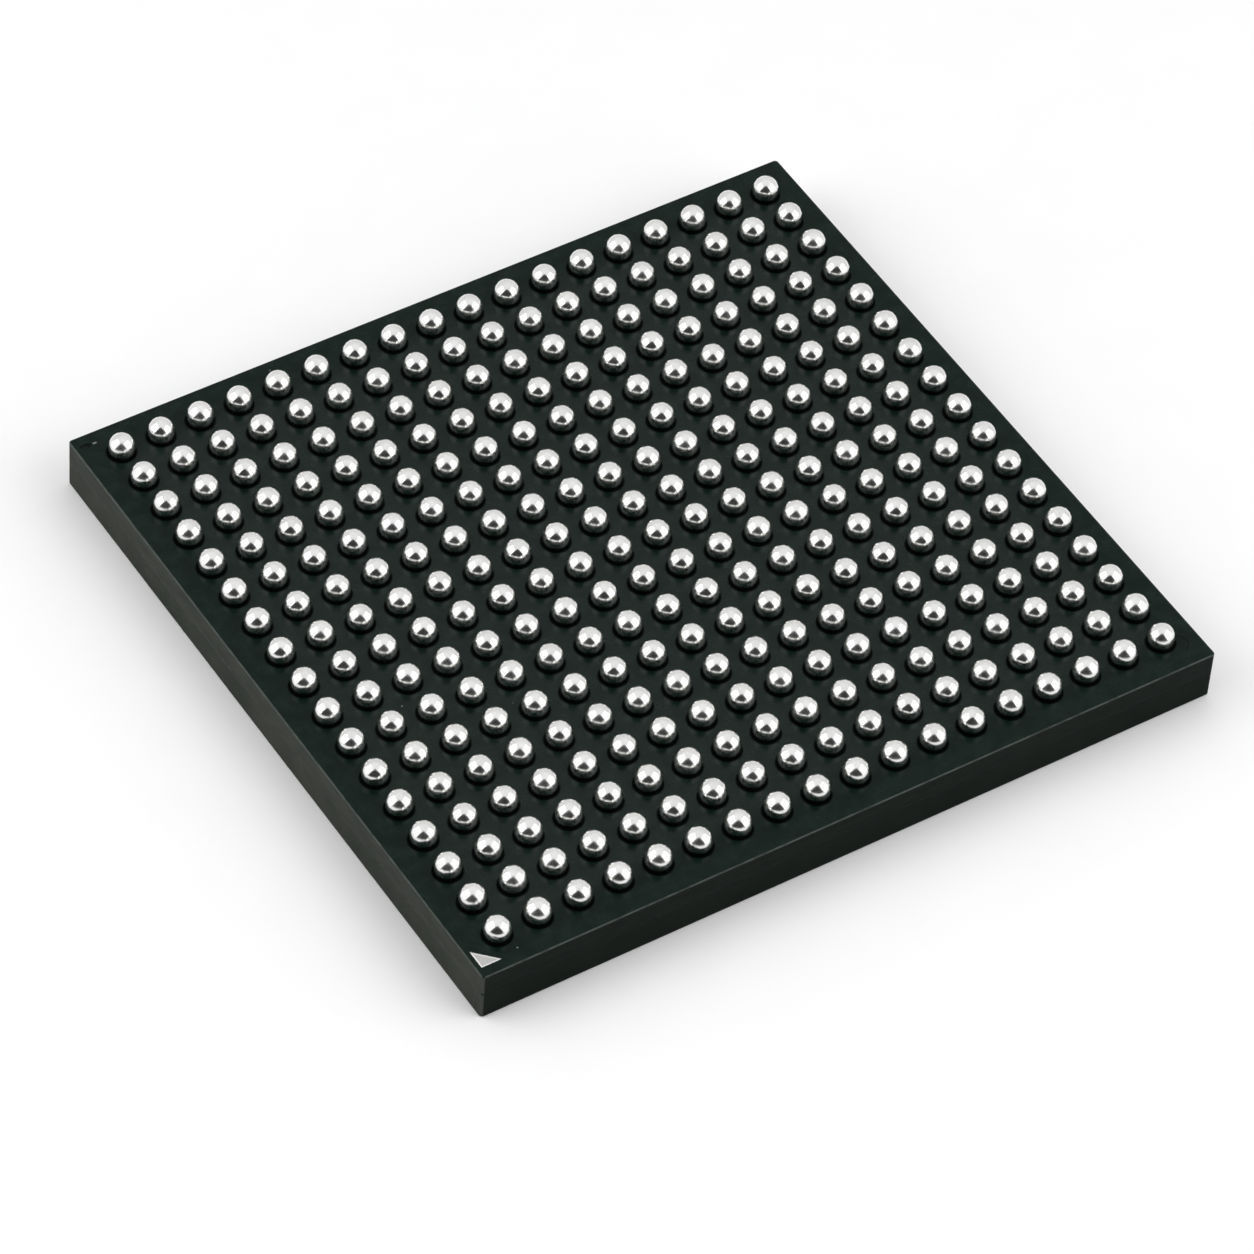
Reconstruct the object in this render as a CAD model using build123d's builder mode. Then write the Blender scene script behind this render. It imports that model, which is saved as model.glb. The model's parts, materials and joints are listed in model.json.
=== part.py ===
import os
from math import sqrt

from build123d import *

# A ball grid array package that lies on its marking face, with the solder balls up.
# The marking face is at Z = 0. X runs along the rows of balls and Y across them,
# and ball A1 is the one nearest the corner at -X, -Y.

# Ball grid, in millimetres
ball_pitch = 0.8
ball_columns = 18
row_letters = "abcdefghjklmnprtu"
ball_diameter = 0.5
ball_neck_diameter = 0.4
ball_height = 0.40
crown_radius = 0.32
shoulder_radius = 0.11
edge_margin = 0.7

# Layers, from the marking face up
mold_thickness = 0.58
mask_thickness = 0.04
core_thickness = 0.40
copper_thickness = 0.02

# Outline
corner_radius = 0.07
mask_edge_break = 0.02
mold_edge_break = 0.03

# Corner A1 marks on both faces
triangle_leg = 0.42
triangle_inset_x = 0.10
triangle_inset_y = 0.21
dimple_diameter = 0.8
dimple_depth = 0.05
dimple_inset = 1.2

# Small oval dent near the corner at -X, +Y of the ball side
dent_length = 0.24
dent_width = 0.12
dent_depth = 0.012
dent_inset_x = 0.20
dent_inset_y = 0.28

# Chip and what holds it
die_length = 8.0
die_width = 7.4
die_thickness = 0.2
attach_thickness = 0.025
die_pad_size = 0.07
die_pad_thickness = 0.01
die_pad_inset = 0.10

# Bond fingers in a slot of the mask, beside each edge of the chip
finger_pitch = 0.3
finger_count_x = 24
finger_count_y = 22
finger_width = 0.12
finger_length = 0.4
finger_distance = 0.9
slot_clearance = 0.1

# Gold bond wires
wire_diameter = 0.025
wire_loop_height = 0.12
wire_flat_run = 0.25
wire_landing = 0.07
wire_bend_radius = 0.03
bond_diameter = 0.06
bond_height = 0.015

# Levels and overall sizes that follow
ball_rows = len(row_letters)
body_length = (ball_columns - 1) * ball_pitch + 2 * edge_margin
body_width = (ball_rows - 1) * ball_pitch + 2 * edge_margin
core_bottom = mold_thickness + mask_thickness
core_top = core_bottom + core_thickness
pad_top = core_top + copper_thickness
mask_face = core_top + mask_thickness
ball_radius = ball_diameter / 2
neck_radius = ball_neck_diameter / 2
ball_top = mask_face + ball_height
die_back = mold_thickness - attach_thickness
die_face = die_back - die_thickness
die_pad_face = die_face - die_pad_thickness
finger_face = core_bottom - copper_thickness

# The four edges of the chip, each with X pointing outwards along the wires
chip_sides = {
    "front": (Location((0, -die_width / 2, 0), (0, 0, -90)), finger_count_x),
    "rear": (Location((0, die_width / 2, 0), (0, 0, 90)), finger_count_x),
    "left": (Location((-die_length / 2, 0, 0), (0, 0, 180)), finger_count_y),
    "right": (Location((die_length / 2, 0, 0), (0, 0, 0)), finger_count_y),
}

os.makedirs("parts", exist_ok=True)


def keep(piece, node):
    piece.part.label = node
    export_step(piece.part, f"parts/{node}.step")


def ball_grid():
    return GridLocations(ball_pitch, ball_pitch, ball_columns, ball_rows)


# Solder balls: a crown arc, a tighter shoulder arc down to the widest level, and a barrel arc
# that ends on the neck, which fills the mask's opening
crown_center = ball_top - crown_radius
shoulder_x = ball_radius - shoulder_radius
widest_level = crown_center + sqrt((crown_radius - shoulder_radius) ** 2 - shoulder_x**2)
arc_meeting = Vector(shoulder_x, widest_level - crown_center).normalized() * crown_radius
with BuildPart() as ball:
    with BuildSketch(Plane.XZ):
        with BuildLine():
            foot = Line((0, pad_top), (neck_radius, pad_top))
            neck = Line(foot @ 1, (neck_radius, mask_face))
            barrel = TangentArc((ball_radius, widest_level), neck @ 1, tangent=(0, -1))
            shoulder = TangentArc(
                (ball_radius, widest_level),
                (arc_meeting.X, crown_center + arc_meeting.Y),
                tangent=(0, 1),
            )
            crown = TangentArc(shoulder @ 1, (0, ball_top), tangent=shoulder % 1)
            Line(crown @ 1, foot @ 0)
        make_face()
    revolve(axis=Axis.Z)

for row, letter in enumerate(row_letters):
    row_y = (row - (ball_rows - 1) / 2) * ball_pitch
    with BuildPart() as ball_row:
        with Locations((0, row_y)):
            with GridLocations(ball_pitch, ball_pitch, ball_columns, 1):
                add(ball.part)
    keep(ball_row, f"ball_row_{letter}")

# Copper pads at the bottom of the mask's openings, one under each ball
with BuildPart() as ball_pads:
    with BuildSketch(Plane.XY.offset(core_top)):
        with ball_grid():
            Circle(neck_radius)
    extrude(amount=copper_thickness)
keep(ball_pads, "ball_pads")

# Copper triangle that marks corner A1, in a window of the mask
triangle_x = -body_length / 2 + triangle_inset_x
triangle_y = -body_width / 2 + triangle_inset_y
with BuildSketch(Plane.XY.offset(core_top)) as triangle:
    with BuildLine():
        Polyline(
            (triangle_x, triangle_y),
            (triangle_x + triangle_leg, triangle_y),
            (triangle_x, triangle_y + triangle_leg),
            close=True,
        )
    make_face()
with BuildPart() as corner_mark:
    extrude(triangle.sketch, amount=copper_thickness)
keep(corner_mark, "a1_corner_mark")

# Solder mask on the ball side, with a dent near one corner and an opening over each pad
with BuildPart() as ball_side_mask:
    with BuildSketch(Plane.XY.offset(core_top)):
        RectangleRounded(body_length, body_width, corner_radius)
    extrude(amount=mask_thickness)
    chamfer(ball_side_mask.faces().sort_by(Axis.Z)[-1].edges(), mask_edge_break)
    with BuildSketch(Plane.XY.offset(mask_face)):
        with Locations((-body_length / 2 + dent_inset_x, body_width / 2 - dent_inset_y)):
            Ellipse(dent_length / 2, dent_width / 2)
    extrude(amount=-dent_depth, mode=Mode.SUBTRACT)
    with BuildSketch(Plane.XY.offset(core_top)):
        add(triangle.sketch)
        with ball_grid():
            Circle(neck_radius)
    extrude(amount=mask_thickness, mode=Mode.SUBTRACT)
keep(ball_side_mask, "ball_side_solder_mask")

# Glass and resin core of the laminate
with BuildPart() as core:
    with BuildSketch(Plane.XY.offset(core_bottom)):
        RectangleRounded(body_length, body_width, corner_radius)
    extrude(amount=core_thickness)
keep(core, "laminate_core")

# Bond fingers on the core's chip side
with BuildPart() as fingers:
    with BuildSketch(Plane.XY.offset(finger_face)):
        for place, count in chip_sides.values():
            with Locations(place * Location((finger_distance, 0, 0))):
                with GridLocations(finger_pitch, finger_pitch, 1, count):
                    Rectangle(finger_length, finger_width)
    extrude(amount=copper_thickness)
keep(fingers, "bond_fingers")

# Slots of the chip side mask that leave the fingers bare
with BuildSketch(Plane.XY.offset(mold_thickness)) as finger_slots:
    for place, count in chip_sides.values():
        with Locations(place * Location((finger_distance, 0, 0))):
            Rectangle(
                finger_length + 2 * slot_clearance,
                (count - 1) * finger_pitch + finger_width + 2 * slot_clearance,
            )

with BuildPart() as chip_side_mask:
    with BuildSketch(Plane.XY.offset(mold_thickness)):
        RectangleRounded(body_length, body_width, corner_radius)
    extrude(amount=mask_thickness)
    extrude(finger_slots.sketch, amount=mask_thickness, mode=Mode.SUBTRACT)
keep(chip_side_mask, "die_side_solder_mask")

# Film that glues the chip's back to the mask
with BuildPart() as attach_film:
    with BuildSketch(Plane.XY.offset(die_back)):
        Rectangle(die_length, die_width)
    extrude(amount=attach_thickness)
keep(attach_film, "die_attach_film")

# Silicon chip, its circuit side towards the marking face
with BuildPart() as die:
    with BuildSketch(Plane.XY.offset(die_face)):
        Rectangle(die_length, die_width)
    extrude(amount=die_thickness)
keep(die, "die")

# Bond pads along the chip's four edges
with BuildPart() as die_pads:
    with BuildSketch(Plane.XY.offset(die_pad_face)):
        for place, count in chip_sides.values():
            with Locations(place * Location((-die_pad_inset, 0, 0))):
                with GridLocations(finger_pitch, finger_pitch, 1, count):
                    Rectangle(die_pad_size, die_pad_size)
    extrude(amount=die_pad_thickness)
keep(die_pads, "die_bond_pads")

# One gold wire: a flattened bond on the pad, a low loop past the chip's edge, and a landing
loop_level = die_pad_face - wire_loop_height
with BuildPart() as wire:
    with BuildLine(Plane.XZ) as wire_path:
        FilletPolyline(
            (-die_pad_inset, die_pad_face),
            (-die_pad_inset, loop_level),
            (-die_pad_inset + wire_flat_run, loop_level),
            (finger_distance, finger_face - wire_landing),
            (finger_distance, finger_face),
            radius=wire_bend_radius,
        )
    with BuildSketch(Plane(origin=wire_path.line @ 0, z_dir=wire_path.line % 0)):
        Circle(wire_diameter / 2)
    sweep(path=wire_path.line)
    with BuildSketch(Plane.XY.offset(die_pad_face)):
        with Locations((-die_pad_inset, 0)):
            Circle(bond_diameter / 2)
    extrude(amount=-bond_height)

wire_groups = []
for side, (place, count) in chip_sides.items():
    with BuildPart() as wire_group:
        with Locations(place):
            with GridLocations(finger_pitch, finger_pitch, 1, count):
                add(wire.part)
    keep(wire_group, f"bond_wires_{side}")
    wire_groups.append(wire_group)

# Moulded cap: it fills the finger slots and closes round the chip, its pads and the wires
with BuildPart() as mold_cap:
    with BuildSketch():
        RectangleRounded(body_length, body_width, corner_radius)
    extrude(amount=mold_thickness)
    chamfer(mold_cap.faces().sort_by(Axis.Z)[0].edges(), mold_edge_break)
    extrude(finger_slots.sketch, amount=mask_thickness)
    with BuildSketch():
        with Locations((-body_length / 2 + dimple_inset, -body_width / 2 + dimple_inset)):
            Circle(dimple_diameter / 2)
    extrude(amount=dimple_depth, mode=Mode.SUBTRACT)
    inside = (attach_film, die, die_pads, fingers, *wire_groups)
    add([held.part for held in inside], mode=Mode.SUBTRACT)
keep(mold_cap, "mold_cap")
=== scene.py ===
import json
from math import cos, pi, radians, sin

import bpy
from mathutils import Matrix, Vector

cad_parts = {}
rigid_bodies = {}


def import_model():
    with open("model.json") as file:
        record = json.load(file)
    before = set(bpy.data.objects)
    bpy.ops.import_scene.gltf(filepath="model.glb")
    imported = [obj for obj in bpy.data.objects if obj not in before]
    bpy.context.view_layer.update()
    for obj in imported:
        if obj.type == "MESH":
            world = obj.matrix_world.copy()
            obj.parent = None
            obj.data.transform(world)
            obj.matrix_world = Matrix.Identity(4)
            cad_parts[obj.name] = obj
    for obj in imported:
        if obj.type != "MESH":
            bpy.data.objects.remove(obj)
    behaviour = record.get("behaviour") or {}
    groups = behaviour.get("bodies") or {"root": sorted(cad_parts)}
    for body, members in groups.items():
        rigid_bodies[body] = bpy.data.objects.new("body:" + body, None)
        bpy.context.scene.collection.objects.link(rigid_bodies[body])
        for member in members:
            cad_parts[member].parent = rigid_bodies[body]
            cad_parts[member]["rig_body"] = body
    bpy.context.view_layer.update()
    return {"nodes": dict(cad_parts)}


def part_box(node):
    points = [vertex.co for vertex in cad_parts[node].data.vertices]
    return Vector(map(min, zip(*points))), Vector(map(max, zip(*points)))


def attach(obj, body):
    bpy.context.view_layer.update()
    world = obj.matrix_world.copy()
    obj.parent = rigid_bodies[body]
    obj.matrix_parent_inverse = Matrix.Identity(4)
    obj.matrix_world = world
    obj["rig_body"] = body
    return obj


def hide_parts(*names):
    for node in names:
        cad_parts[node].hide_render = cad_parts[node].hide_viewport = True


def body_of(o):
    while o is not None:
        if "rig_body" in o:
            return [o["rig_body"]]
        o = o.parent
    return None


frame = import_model()

# Lengths are in metres, and sizes that the frame holds are read from it
MM = 0.001
half_length, half_width, mask_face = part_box("ball_side_solder_mask")[1]

# The first row of balls gives their radius, their pitch and the place of the first one
ball_columns = 18
first_row_low, first_row_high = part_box("ball_row_a")
ball_radius = (first_row_high.y - first_row_low.y) / 2
ball_pitch = (first_row_high.x - first_row_low.x - 2 * ball_radius) / (ball_columns - 1)
first_ball = (first_row_low.x + ball_radius, first_row_low.y + ball_radius)

# Solder balls: a dome on a short barrel, by shares of the ball's radius, and how finely they are cut
neck_share = 0.80
foot_share = 0.93
foot_gap = 0.004 * MM
level_slack = 0.05 * ball_radius
ball_segments = 14
ball_rings = 8
smooth_angle = radians(40)

# Camera: where it looks on the mask's face, from which side, how high and from how far
aim_point = Vector((-1.185 * MM, -1.540 * MM, mask_face))
camera_azimuth = radians(-35.54)
camera_elevation = radians(47.38)
camera_roll = radians(4.74)
camera_distance = 125.0 * MM
camera_lens = 205.9
camera_sensor = 36.0
camera_near = 10 * MM
camera_far = 5.0

# Sky: pale all round and a little brighter overhead, by how steeply a ray rises
sky_strength = 0.80
overhead_extra = 0.12
overhead_from = 0.45
overhead_full = 0.95

# Dark gap in the sky on the camera's side: a tent, by shares of the distance in front of the package
gap_strength = 0.038
gap_half_width = 1.35
gap_height = 2.60
gap_softness = 0.05
gap_least_front = 0.02

# Soft boxes, one at each side of the camera
box_radiance = 1.6
box_side = 88 * MM
box_distance = 95 * MM
box_turn = radians(77)
box_elevation = radians(30)

# Floor: white paper, lifted a little for the camera alone
floor_size = 900 * MM
floor_lift = 0.045
floor_tones = ((0.90, 0.90, 0.90), (0.93, 0.93, 0.93))
paper_size = 1.2 * MM

# Solder: its tones and grain, and painted shade that darkens each ball towards its foot
solder_tones = ((0.80, 0.80, 0.785), (0.90, 0.90, 0.885))
solder_crystal = 0.045 * MM
solder_patch = 0.30 * MM
solder_fine = 0.02 * MM
foot_shade_tone = (0.16, 0.17, 0.16)
foot_shade_share = 0.85
foot_shade_top = mask_face + 0.15 * MM
foot_shade_full = mask_face + 0.01 * MM

# Cut walls: a lighter pair of tones across X as painted light, a darker pair along it as painted shade, and
# a painted highlight down each corner of the package
painted_lit_wall_tones = ((0.025, 0.030, 0.024), (0.042, 0.047, 0.039))
painted_shaded_wall_tones = ((0.0040, 0.0070, 0.0050), (0.0076, 0.0112, 0.0086))
wall_inner = 0.05 * MM
wall_outer = 0.02 * MM
corner_highlight_tone = (0.060, 0.066, 0.058)
corner_highlight_share = 0.8
corner_highlight_inner = 0.060 * MM
corner_highlight_outer = 0.044 * MM

# Lacquer: its tones in the margin and between the balls, and where the one passes into the other
margin_tones = ((0.0032, 0.0098, 0.0070), (0.0064, 0.0150, 0.0114))
field_tones = ((0.0036, 0.0104, 0.0076), (0.0074, 0.0162, 0.0124))
margin_edge = 0.35 * MM
field_edge = 1.20 * MM
mottle_size = 0.35 * MM
peel_size = 0.05 * MM
ball_side_shine = 0.16
die_side_shine = 0.05
margin_shine_share = 0.55

# Lacquer on the cut wall, and a painted highlight along the rim of the ball side
lacquer_wall_inner = 0.010 * MM
lacquer_wall_outer = 0.002 * MM
rim_highlight_tone = (0.060, 0.074, 0.066)
rim_highlight_inner = 0.022 * MM
rim_highlight_outer = 0.012 * MM
rim_highlight_depth = 0.025 * MM
rim_highlight_patch = 0.25 * MM

# Painted contact shadow: a dark dull ring about the foot of each ball, and none in the outer margin
contact_shadow_tone = (0.0008, 0.0016, 0.0012)
contact_shadow_outer = 1.20 * ball_radius
contact_shadow_inner = 1.06 * ball_radius
contact_shadow_share = 0.95
contact_shadow_margin = 0.40 * MM

# Small marks on the ball side, placed from the package's corners
scratch_tone = (0.001, 0.002, 0.002)
scratch_center = (half_length - 0.44 * MM, 0.52 * MM - half_width)
scratch_radius = 0.178 * MM
scratch_width = 0.028 * MM
scratch_open_from = 0.02 * MM
scratch_open_full = 0.06 * MM
break_size = 0.09 * MM
# Painted shade inside the dent near -X, +Y
dent_shade_tone = (0.0008, 0.0012, 0.0010)
dent_center = (0.215 * MM - half_length, half_width - 0.278 * MM)
dent_halves = (0.115 * MM, 0.055 * MM)
# One pale tone for a painted glint beside the dent, and for the speck and the dust
glint_and_dust_tone = (0.52, 0.55, 0.52)
glint_and_dust_depth = 0.03 * MM
glint_center = (0.389 * MM - half_length, half_width - 0.274 * MM)
glint_halves = (0.050 * MM, 0.022 * MM)
speck_center = (0.85 * MM - half_length, 0.29 * MM - half_width)
speck_radius = 0.018 * MM
dust_spacing = 0.9 * MM

# Laminate: streaks of glass fibre and yarns, by how often they come along X, along Y and up
fibre_rates = (900.0, 900.0, 38000.0)
yarn_rates = (2500.0, 2500.0, 9000.0)
laminate_shine = 0.05

# Moulding compound: filler, clouds, and saw lines on the cut sides above the broken edges
filler_size = 0.035 * MM
cloud_size = 0.8 * MM
saw_rates = (1400.0, 1400.0, 30000.0)
saw_from = 0.02 * MM
saw_full = 0.05 * MM
saw_relief = 1.2
mold_shine = 0.045

# Other metals, silicon and film, each between a duller and a brighter tone
gold_tones = ((0.80, 0.56, 0.22), (0.88, 0.66, 0.30))
copper_tones = ((0.66, 0.36, 0.25), (0.76, 0.45, 0.33))
pad_tones = ((0.70, 0.70, 0.72), (0.80, 0.80, 0.82))
plating_grain = 0.02 * MM
pad_grain = 0.01 * MM
silicon_tones = ((0.16, 0.17, 0.21), (0.24, 0.23, 0.27))
circuit_size = 0.7 * MM
film_tones = ((0.30, 0.26, 0.18), (0.42, 0.37, 0.26))
film_grain = 0.06 * MM

# Corner A1 mark: a grey field inside a bright border
mark_tones = ((0.47, 0.47, 0.455), (0.62, 0.62, 0.605))
border_tone = (0.97, 0.97, 0.96)
mark_border = 0.044 * MM
mark_grain = 0.03 * MM


class Nodes:
    """A node tree under construction, with a short call for each kind of node."""

    def __init__(self, tree):
        self.tree = tree

    def node(self, kind, **settings):
        made = self.tree.nodes.new(kind)
        for key, value in settings.items():
            setattr(made, key, value)
        return made

    def link(self, source, socket):
        """A socket takes the output of another node, or else a plain value."""
        if isinstance(source, bpy.types.NodeSocket):
            self.tree.links.new(source, socket)
        else:
            socket.default_value = source

    def math(self, operation, *values):
        made = self.node("ShaderNodeMath", operation=operation)
        for value, socket in zip(values, made.inputs):
            self.link(value, socket)
        return made.outputs[0]

    def plus(self, a, b):
        return self.math("ADD", a, b)

    def minus(self, a, b):
        return self.math("SUBTRACT", a, b)

    def times(self, a, b):
        return self.math("MULTIPLY", a, b)

    def span(self, value, low, high, to_low=0.0, to_high=1.0):
        """A soft step, from to_low where the value is low to to_high where it is high."""
        made = self.node("ShaderNodeMapRange", interpolation_type="SMOOTHSTEP")
        amounts = (value, low, high, to_low, to_high)
        for key, amount in zip(("Value", "From Min", "From Max", "To Min", "To Max"), amounts):
            self.link(amount, made.inputs[key])
        return made.outputs[0]


class Finish(Nodes):
    """A material under construction, laid out on Object coordinates."""

    def __init__(self, name):
        self.material = bpy.data.materials.new(name)
        self.material.use_nodes = True
        super().__init__(self.material.node_tree)
        self.shader = self.tree.nodes["Principled BSDF"]
        self.place = self.node("ShaderNodeTexCoord").outputs["Object"]

    def axes(self):
        split = self.node("ShaderNodeSeparateXYZ")
        self.link(self.place, split.inputs[0])
        return split.outputs

    def grain(self, size, detail=3.0, rough=0.55):
        return self.noise(self.place, 1.0 / size, detail, rough)

    def streaks(self, rates, detail):
        """Noise drawn out along some axes, with its own rate along each."""
        mapping = self.node("ShaderNodeMapping")
        self.link(self.place, mapping.inputs["Vector"])
        mapping.inputs["Scale"].default_value = rates
        return self.noise(mapping.outputs[0], 1.0, detail, 0.55)

    def noise(self, place, scale, detail, rough):
        made = self.node("ShaderNodeTexNoise")
        self.link(place, made.inputs["Vector"])
        made.inputs["Scale"].default_value = scale
        made.inputs["Detail"].default_value = detail
        made.inputs["Roughness"].default_value = rough
        return made.outputs[0]

    def crystals(self, size):
        """Distance from the middle of the nearest grain."""
        made = self.node("ShaderNodeTexVoronoi", feature="F1")
        self.link(self.place, made.inputs["Vector"])
        made.inputs["Scale"].default_value = 1.0 / size
        return made.outputs["Distance"]

    def blend(self, a, b, share):
        """The given share of one value and the rest of the other."""
        return self.plus(self.times(a, share), self.times(b, 1.0 - share))

    def mix(self, factor, a, b):
        """Passes from one colour to another, each a tone or the output of a node."""
        made = self.node("ShaderNodeMix", data_type="RGBA")
        self.link(factor, made.inputs["Factor"])
        for colour, key in ((a, "A"), (b, "B")):
            self.link((*colour, 1.0) if isinstance(colour, tuple) else colour, made.inputs[key])
        return made.outputs["Result"]

    def bump(self, height, distance, strength, under=None):
        made = self.node("ShaderNodeBump")
        made.inputs["Strength"].default_value = strength
        made.inputs["Distance"].default_value = distance
        self.link(height, made.inputs["Height"])
        if under:
            self.link(under, made.inputs["Normal"])
        return made.outputs[0]

    def squares(self, u, v):
        """The sum of two squares."""
        return self.plus(self.times(u, u), self.times(v, v))

    def offset(self, center):
        """How far a point lies from a centre along X and along Y."""
        x, y, _ = self.axes()
        return self.minus(x, center[0]), self.minus(y, center[1])

    def flat_distance(self, center):
        return self.math("SQRT", self.squares(*self.offset(center)))

    def oval(self, center, half_x, half_y):
        """Squared distance from an oval's centre: 1 on the oval itself."""
        dx, dy = self.offset(center)
        return self.squares(self.math("DIVIDE", dx, half_x), self.math("DIVIDE", dy, half_y))

    def set(self, **values):
        """Sets sockets of the shader, each by its name in small letters with low lines."""
        sockets = {socket.name.lower().replace(" ", "_"): socket for socket in self.shader.inputs}
        for name, value in values.items():
            self.link(value, sockets[name])


def from_edges(f):
    """Distances from the walls across X and from the walls along it."""
    x, y, _ = f.axes()
    to_end = f.minus(half_length, f.math("ABSOLUTE", x))
    to_side = f.minus(half_width, f.math("ABSOLUTE", y))
    return to_end, to_side


def from_nearest_ball(f):
    """Distance on the ball side from the axis of the nearest ball."""
    x, y, _ = f.axes()
    half = ball_pitch / 2
    u = f.math("WRAP", f.minus(x, first_ball[0]), half, -half)
    v = f.math("WRAP", f.minus(y, first_ball[1]), half, -half)
    return f.math("SQRT", f.squares(u, v))


def cut_tone(f, tone):
    """Cut walls: a paler pair of tones across X as painted light, a darker pair along it as painted shade,
    and a painted highlight at each corner.
    """
    to_end, to_side = from_edges(f)
    # Painted light on the walls across X and painted shade on the walls along it
    across = f.span(to_end, wall_inner, wall_outer)
    colour = f.mix(across, f.mix(tone, *painted_shaded_wall_tones), f.mix(tone, *painted_lit_wall_tones))
    # Painted highlight down each vertical corner of the package
    corner = f.span(f.plus(to_end, to_side), corner_highlight_inner, corner_highlight_outer, to_high=corner_highlight_share)
    return f.mix(corner, colour, corner_highlight_tone)


def solder_finish():
    """Reflowed solder: bright metal with a fine crystal grain, duller patches, and painted shade darkening
    the foot.
    """
    f = Finish("reflowed_solder")
    z = f.axes()[2]
    patches = f.grain(solder_patch, detail=2.0)
    tone = f.span(f.blend(patches, f.grain(solder_fine), share=0.6), low=0.35, high=0.65)
    # Painted shade: the colour darkens over the lowest part of each ball, down to its foot
    foot_shade = f.span(z, foot_shade_top, foot_shade_full, to_high=foot_shade_share)
    colour = f.mix(foot_shade, f.mix(tone, *solder_tones), foot_shade_tone)
    rough = f.span(patches, low=0.3, high=0.7, to_low=0.16, to_high=0.24)
    waves = f.bump(patches, distance=0.006 * MM, strength=0.2)
    relief = f.bump(f.crystals(solder_crystal), distance=0.0012 * MM, strength=0.35, under=waves)
    f.set(base_color=colour, roughness=rough, normal=relief, metallic=1.0)
    return f.material


def with_rim_highlight(f, colour, rim):
    """A painted highlight along the cut rim of the lacquer, patchy along its length."""
    z = f.axes()[2]
    # Painted highlight: a pale band along the top edge of the rim
    rim_highlight = f.span(rim, rim_highlight_inner, rim_highlight_outer)
    rim_highlight = f.times(rim_highlight, f.math("GREATER_THAN", z, mask_face - rim_highlight_depth))
    highlight_breaks = f.span(f.grain(rim_highlight_patch), low=0.30, high=0.62, to_low=0.35)
    return f.mix(f.times(rim_highlight, highlight_breaks), colour, rim_highlight_tone)


def with_scratch_and_dent_shade(f, colour):
    """A fine curved scratch near the corner at +X, -Y, and painted shade inside the dent near -X, +Y."""
    x = f.axes()[0]
    from_arc = f.math("ABSOLUTE", f.minus(f.flat_distance(scratch_center), scratch_radius))
    line = f.span(from_arc, scratch_width, 0.0)
    open_side = f.span(x, scratch_center[0] - scratch_open_from, scratch_center[0] + scratch_open_full)
    broken = f.span(f.grain(break_size, detail=2.0), low=0.38, high=0.55)
    colour = f.mix(f.times(f.times(line, open_side), broken), colour, scratch_tone)
    # Painted shade: the inside of the dent is darkened
    dent = f.span(f.oval(dent_center, *dent_halves), low=1.2, high=0.5, to_high=0.85)
    return f.mix(f.times(dent, broken), colour, dent_shade_tone)


def with_glint_and_dust(f, colour):
    """A painted glint beside the dent, a speck near corner A1, and a few grains of dust."""
    z = f.axes()[2]
    # Painted highlight: a pale glint beside the dent
    glint = f.span(f.oval(glint_center, *glint_halves), low=1.1, high=0.4, to_high=0.38)
    speck = f.span(f.flat_distance(speck_center), speck_radius, 0.5 * speck_radius, to_high=0.45)
    dust = f.span(f.crystals(dust_spacing), low=0.020, high=0.012, to_high=0.35)
    pale = f.math("MAXIMUM", f.math("MAXIMUM", glint, speck), dust)
    on_top = f.math("GREATER_THAN", z, mask_face - glint_and_dust_depth)
    return f.mix(f.times(pale, on_top), colour, glint_and_dust_tone)


def solder_mask_finish(name, shine):
    """Dark lacquer over the copper pattern: soft mottling, a painted highlight along its rim, painted
    contact shadow about the balls, and the few marks it carries, with painted shade in the dent and a
    painted glint beside it.
    """
    f = Finish(name)
    rim = f.math("MINIMUM", *from_edges(f))
    mottle = f.grain(mottle_size, detail=4.0, rough=0.6)
    tone = f.span(mottle, low=0.35, high=0.68)
    in_field = f.span(rim, margin_edge, field_edge)
    on_wall = f.span(rim, lacquer_wall_inner, lacquer_wall_outer)
    # Painted contact shadow about the foot of each ball, which also dulls the lacquer's shine there
    contact_shadow = f.span(from_nearest_ball(f), contact_shadow_outer, contact_shadow_inner, to_high=contact_shadow_share)
    contact_shadow = f.times(contact_shadow, f.math("GREATER_THAN", rim, contact_shadow_margin))
    colour = f.mix(in_field, f.mix(tone, *margin_tones), f.mix(tone, *field_tones))
    colour = f.mix(on_wall, colour, cut_tone(f, tone))
    colour = f.mix(contact_shadow, colour, contact_shadow_tone)
    colour = with_rim_highlight(f, colour, rim)
    colour = with_scratch_and_dent_shade(f, colour)
    colour = with_glint_and_dust(f, colour)
    rough = f.span(mottle, low=0.3, high=0.7, to_low=0.17, to_high=0.30)
    swell = f.bump(mottle, distance=0.010 * MM, strength=0.35)
    peel = f.bump(f.grain(peel_size, detail=2.0), distance=0.0015 * MM, strength=0.35, under=swell)
    dulled = f.minus(1.0, f.times(contact_shadow, contact_shadow_share))
    specular = f.times(f.span(in_field, 0.0, 1.0, margin_shine_share * shine, shine), dulled)
    f.set(base_color=colour, roughness=rough, normal=peel, specular_ior_level=specular)
    return f.material


def laminate_finish():
    """Sawn glass cloth and resin: level fibre streaks in an olive black edge."""
    f = Finish("sawn_laminate")
    fibres = f.streaks(fibre_rates, detail=4.0)
    yarns = f.streaks(yarn_rates, detail=2.0)
    tone = f.span(f.blend(fibres, yarns, share=0.65), low=0.38, high=0.62)
    relief = f.bump(fibres, distance=0.003 * MM, strength=0.5)
    colour = cut_tone(f, tone)
    f.set(base_color=colour, roughness=0.55, normal=relief, specular_ior_level=laminate_shine)
    return f.material


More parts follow.
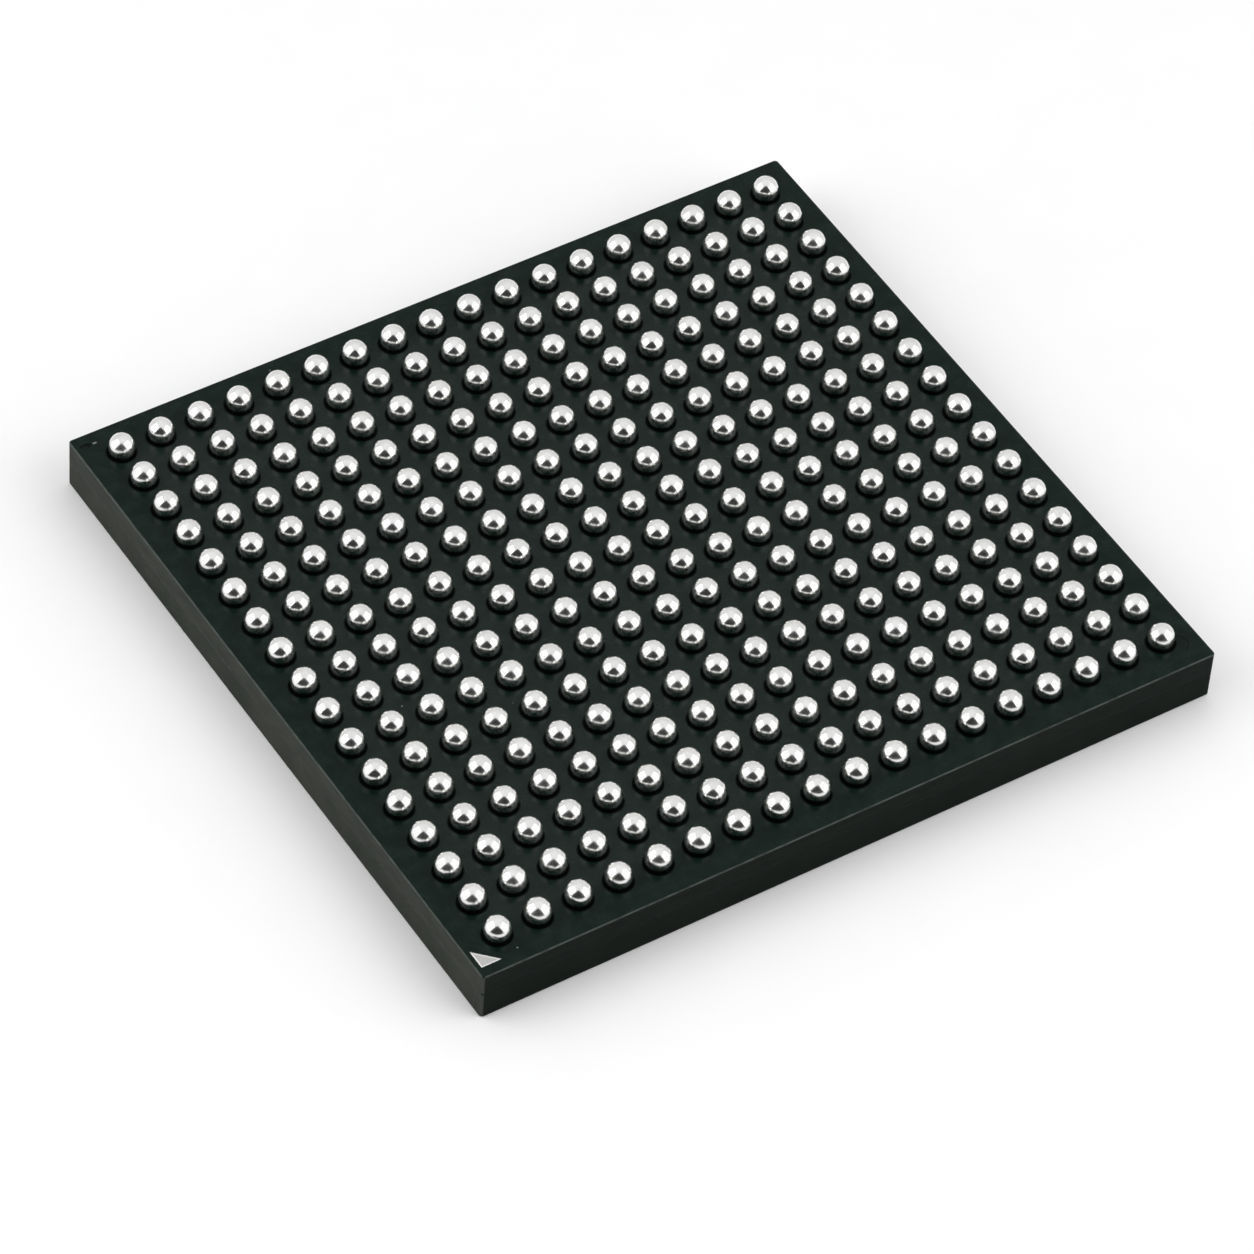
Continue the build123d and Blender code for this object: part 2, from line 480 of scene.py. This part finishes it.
def mold_finish():
    """Moulding compound: black resin full of fine filler, with saw lines on its cut sides."""
    f = Finish("molding_compound")
    z = f.axes()[2]
    filler = f.grain(filler_size, rough=0.7)
    tone = f.span(f.blend(filler, f.grain(cloud_size), share=0.55), low=0.36, high=0.64)
    saw = f.times(f.streaks(saw_rates, detail=3.0), f.span(z, saw_from, saw_full))
    relief = f.bump(f.plus(filler, f.times(saw, saw_relief)), distance=0.003 * MM, strength=0.5)
    colour = cut_tone(f, tone)
    f.set(base_color=colour, roughness=0.58, normal=relief, specular_ior_level=mold_shine)
    return f.material


def plated_finish(name, tones, size, roughness):
    """Plated or drawn metal with a faint grain of the given size."""
    f = Finish(name)
    grain = f.grain(size)
    colour = f.mix(f.span(grain, low=0.35, high=0.65), *tones)
    rough = f.span(grain, low=0.3, high=0.7, to_low=0.8 * roughness, to_high=1.25 * roughness)
    relief = f.bump(grain, distance=0.05 * size, strength=0.4)
    f.set(base_color=colour, roughness=rough, normal=relief, metallic=1.0)
    return f.material


def corner_mark_finish():
    """Plated triangle: a grey field inside a bright polished border."""
    f = Finish("corner_mark_metal")
    low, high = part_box("a1_corner_mark")
    in_x, in_y = f.offset(low)
    slope = f.times(f.minus(high[0] - low[0], f.plus(in_x, in_y)), cos(pi / 4))
    inside = f.math("MINIMUM", f.math("MINIMUM", in_x, in_y), slope)
    border = f.span(inside, mark_border, 0.5 * mark_border)
    grain = f.grain(mark_grain)
    colour = f.mix(border, f.mix(grain, *mark_tones), border_tone)
    relief = f.bump(grain, distance=0.001 * MM, strength=0.4)
    f.set(base_color=colour, roughness=0.45, normal=relief, metallic=0.7)
    return f.material


def silicon_finish():
    """Polished silicon with the faint blocks of a circuit."""
    f = Finish("polished_silicon")
    blocks = f.span(f.crystals(circuit_size), low=0.1, high=0.6)
    f.set(base_color=f.mix(blocks, *silicon_tones), roughness=0.22, metallic=0.6)
    return f.material


def film_finish():
    """Pale adhesive film."""
    f = Finish("attach_film")
    f.set(base_color=f.mix(f.grain(film_grain), *film_tones), roughness=0.55)
    return f.material


def floor_finish():
    """White paper that glows faintly for the camera alone, so that its white meets the sky's."""
    f = Finish("white_paper_floor")
    colour = f.mix(f.grain(paper_size, detail=2.0), *floor_tones)
    f.set(base_color=colour, roughness=0.9, specular_ior_level=0.1)
    glow = f.node("ShaderNodeEmission")
    seen = f.node("ShaderNodeLightPath").outputs["Is Camera Ray"]
    f.link(f.times(seen, floor_lift), glow.inputs["Strength"])
    both = f.node("ShaderNodeAddShader")
    f.link(f.shader.outputs[0], both.inputs[0])
    f.link(glow.outputs[0], both.inputs[1])
    f.link(both.outputs[0], f.tree.nodes["Material Output"].inputs["Surface"])
    return f.material


def select_corners(piece, wanted):
    """Selects the corners of a mesh whose place is wanted, and leaves it in edit mode."""
    bpy.ops.object.mode_set(mode="EDIT")
    bpy.ops.mesh.select_mode(type="VERT")
    bpy.ops.mesh.select_all(action="DESELECT")
    bpy.ops.object.mode_set(mode="OBJECT")
    for corner in piece.data.vertices:
        corner.select = wanted(corner.co)
    bpy.ops.object.mode_set(mode="EDIT")


def extrude_ring(rise, scale, level):
    """Draws the selected ring on to a new level, and scales it about the first ball's axis."""
    bpy.ops.mesh.extrude_edges_move(TRANSFORM_OT_translate={"value": (0, 0, rise)})
    bpy.ops.transform.resize(value=(scale, scale, 1), center_override=(*first_ball, level))


def model_first_row():
    """The first ball, half a sphere drawn down into barrel, foot and neck, and the row of its copies."""
    pad_level = first_row_low.z
    widest_level = first_row_high.z - ball_radius
    foot_level = mask_face + foot_gap
    middle = (*first_ball, widest_level)
    bpy.ops.object.select_all(action="DESELECT")
    bpy.ops.mesh.primitive_uv_sphere_add(
        segments=ball_segments, ring_count=ball_rings, radius=ball_radius, location=middle
    )
    ball = bpy.context.object
    bpy.ops.object.transform_apply(location=True, rotation=False, scale=False)
    select_corners(ball, lambda place: place.z < widest_level - level_slack)
    bpy.ops.mesh.delete(type="VERT")
    select_corners(ball, lambda place: place.z < widest_level + level_slack)
    extrude_ring(foot_level - widest_level, foot_share, foot_level)
    extrude_ring(0, neck_share / foot_share, foot_level)
    extrude_ring(pad_level - foot_level, 1, pad_level)
    bpy.ops.mesh.edge_face_add()
    bpy.ops.mesh.select_all(action="SELECT")
    bpy.ops.mesh.normals_make_consistent(inside=False)
    bpy.ops.object.mode_set(mode="OBJECT")
    repeat = ball.modifiers.new("row", "ARRAY")
    repeat.count = ball_columns
    repeat.use_relative_offset = False
    repeat.use_constant_offset = True
    repeat.constant_offset_displace = (ball_pitch, 0, 0)
    bpy.ops.object.modifier_apply(modifier="row")
    bpy.ops.object.shade_smooth_by_angle(angle=smooth_angle)
    return ball


def build_ball_rows(material):
    """A row of balls for each row of the CAD, copied from the first and moved to that row's place."""
    pattern = model_first_row()
    pattern.data.materials.append(material)
    for node in sorted(frame["nodes"]):
        if not node.startswith("ball_row_"):
            continue
        row = pattern.copy()
        row.data = pattern.data.copy()
        row.name = row.data.name = node.replace("ball_row", "solder_balls")
        row.data.transform(Matrix.Translation((0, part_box(node)[0].y - first_row_low.y, 0)))
        bpy.context.scene.collection.objects.link(row)
        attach(row, body_of(frame["nodes"][node])[0])
        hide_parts(node)
    bpy.data.objects.remove(pattern)


def dress(node, material):
    """Gives a node of the frame one finish all over."""
    slots = frame["nodes"][node].data.materials
    slots.clear()
    slots.append(material)


def dress_package():
    """Every piece gets its finish, those inside the cap too."""
    build_ball_rows(solder_finish())
    gold = plated_finish("gold", gold_tones, plating_grain, roughness=0.24)
    for node in frame["nodes"]:
        if node.startswith("bond_wires_"):
            dress(node, gold)
    dress("bond_fingers", gold)
    dress("ball_side_solder_mask", solder_mask_finish("ball_side_lacquer", ball_side_shine))
    dress("die_side_solder_mask", solder_mask_finish("die_side_lacquer", die_side_shine))
    dress("laminate_core", laminate_finish())
    dress("mold_cap", mold_finish())
    dress("a1_corner_mark", corner_mark_finish())
    dress("ball_pads", plated_finish("copper", copper_tones, plating_grain, roughness=0.32))
    dress("die_bond_pads", plated_finish("bond_pad_metal", pad_tones, pad_grain, roughness=0.30))
    dress("die", silicon_finish())
    dress("die_attach_film", film_finish())


def place_camera():
    """The camera turns about its aim point on the mask's face."""
    data = bpy.data.cameras.new("photo_camera")
    data.lens = camera_lens
    data.sensor_width = camera_sensor
    data.clip_start = camera_near
    data.clip_end = camera_far
    camera = bpy.data.objects.new("photo_camera", data)
    bpy.context.scene.collection.objects.link(camera)
    camera.matrix_world = (
        Matrix.Translation(aim_point)
        @ Matrix.Rotation(camera_azimuth, 4, "Z")
        @ Matrix.Rotation(pi / 2 - camera_elevation, 4, "X")
        @ Matrix.Rotation(camera_roll, 4, "Z")
        @ Matrix.Translation((0, 0, camera_distance))
    )
    bpy.context.scene.camera = camera


def place_soft_box(name, turn):
    """A square lamp that faces the package from the given turn away from the camera's side."""
    azimuth = camera_azimuth + turn
    level = cos(box_elevation)
    towards = Vector((level * sin(azimuth), -level * cos(azimuth), sin(box_elevation)))
    data = bpy.data.lights.new(name, "AREA")
    data.shape = "SQUARE"
    data.size = box_side
    data.energy = box_radiance * pi * box_side**2
    lamp = bpy.data.objects.new(name, data)
    bpy.context.scene.collection.objects.link(lamp)
    lamp.location = towards * box_distance
    lamp.rotation_euler = towards.to_track_quat("Z", "Y").to_euler()


def build_sky():
    """A pale sky with a tent-shaped dark gap on the camera's side, white where the camera sees it."""
    world = bpy.data.worlds.new("studio")
    bpy.context.scene.world = world
    world.use_nodes = True
    sky = Nodes(world.node_tree)
    direction = sky.node("ShaderNodeTexCoord").outputs["Generated"]

    def along(axis):
        made = sky.node("ShaderNodeVectorMath", operation="DOT_PRODUCT")
        sky.link(direction, made.inputs[0])
        sky.link(axis, made.inputs[1])
        return made.outputs["Value"]

    front = along((sin(camera_azimuth), -cos(camera_azimuth), 0))
    side = along((cos(camera_azimuth), sin(camera_azimuth), 0))
    rise = along((0, 0, 1))
    depth = sky.math("MAXIMUM", front, gap_least_front)
    sideways = sky.math("ABSOLUTE", sky.math("DIVIDE", side, depth))
    upwards = sky.math("MAXIMUM", sky.math("DIVIDE", rise, depth), 0.0)
    narrowed = sky.minus(1.0, sky.math("DIVIDE", upwards, gap_height))
    tent = sky.minus(sky.times(narrowed, gap_half_width), sideways)
    in_front = sky.math("GREATER_THAN", front, gap_least_front)
    gap = sky.times(sky.span(tent, -gap_softness, gap_softness), in_front)
    overhead = sky.times(sky.span(rise, overhead_from, overhead_full), overhead_extra)
    open_sky = sky.times(sky.plus(sky_strength, overhead), sky.minus(1.0, gap))
    light = sky.plus(open_sky, sky.times(gap, gap_strength))
    camera_ray = sky.node("ShaderNodeLightPath").outputs["Is Camera Ray"]
    background = sky.tree.nodes["Background"]
    sky.link(sky.math("MAXIMUM", light, camera_ray), background.inputs["Strength"])
    sky.link((1.0, 1.0, 1.0, 1.0), background.inputs["Color"])


def build_floor():
    """A wide sheet under the package, which is backdrop and no part of it."""
    bpy.ops.object.select_all(action="DESELECT")
    bpy.ops.mesh.primitive_plane_add(size=floor_size, location=(0, 0, 0))
    floor = bpy.context.object
    floor.name = "floor"
    floor.data.materials.append(floor_finish())


place_camera()
build_sky()
place_soft_box("soft_box_left", -box_turn)
place_soft_box("soft_box_right", box_turn)
build_floor()
dress_package()

bpy.context.scene.view_settings.view_transform = "Standard"
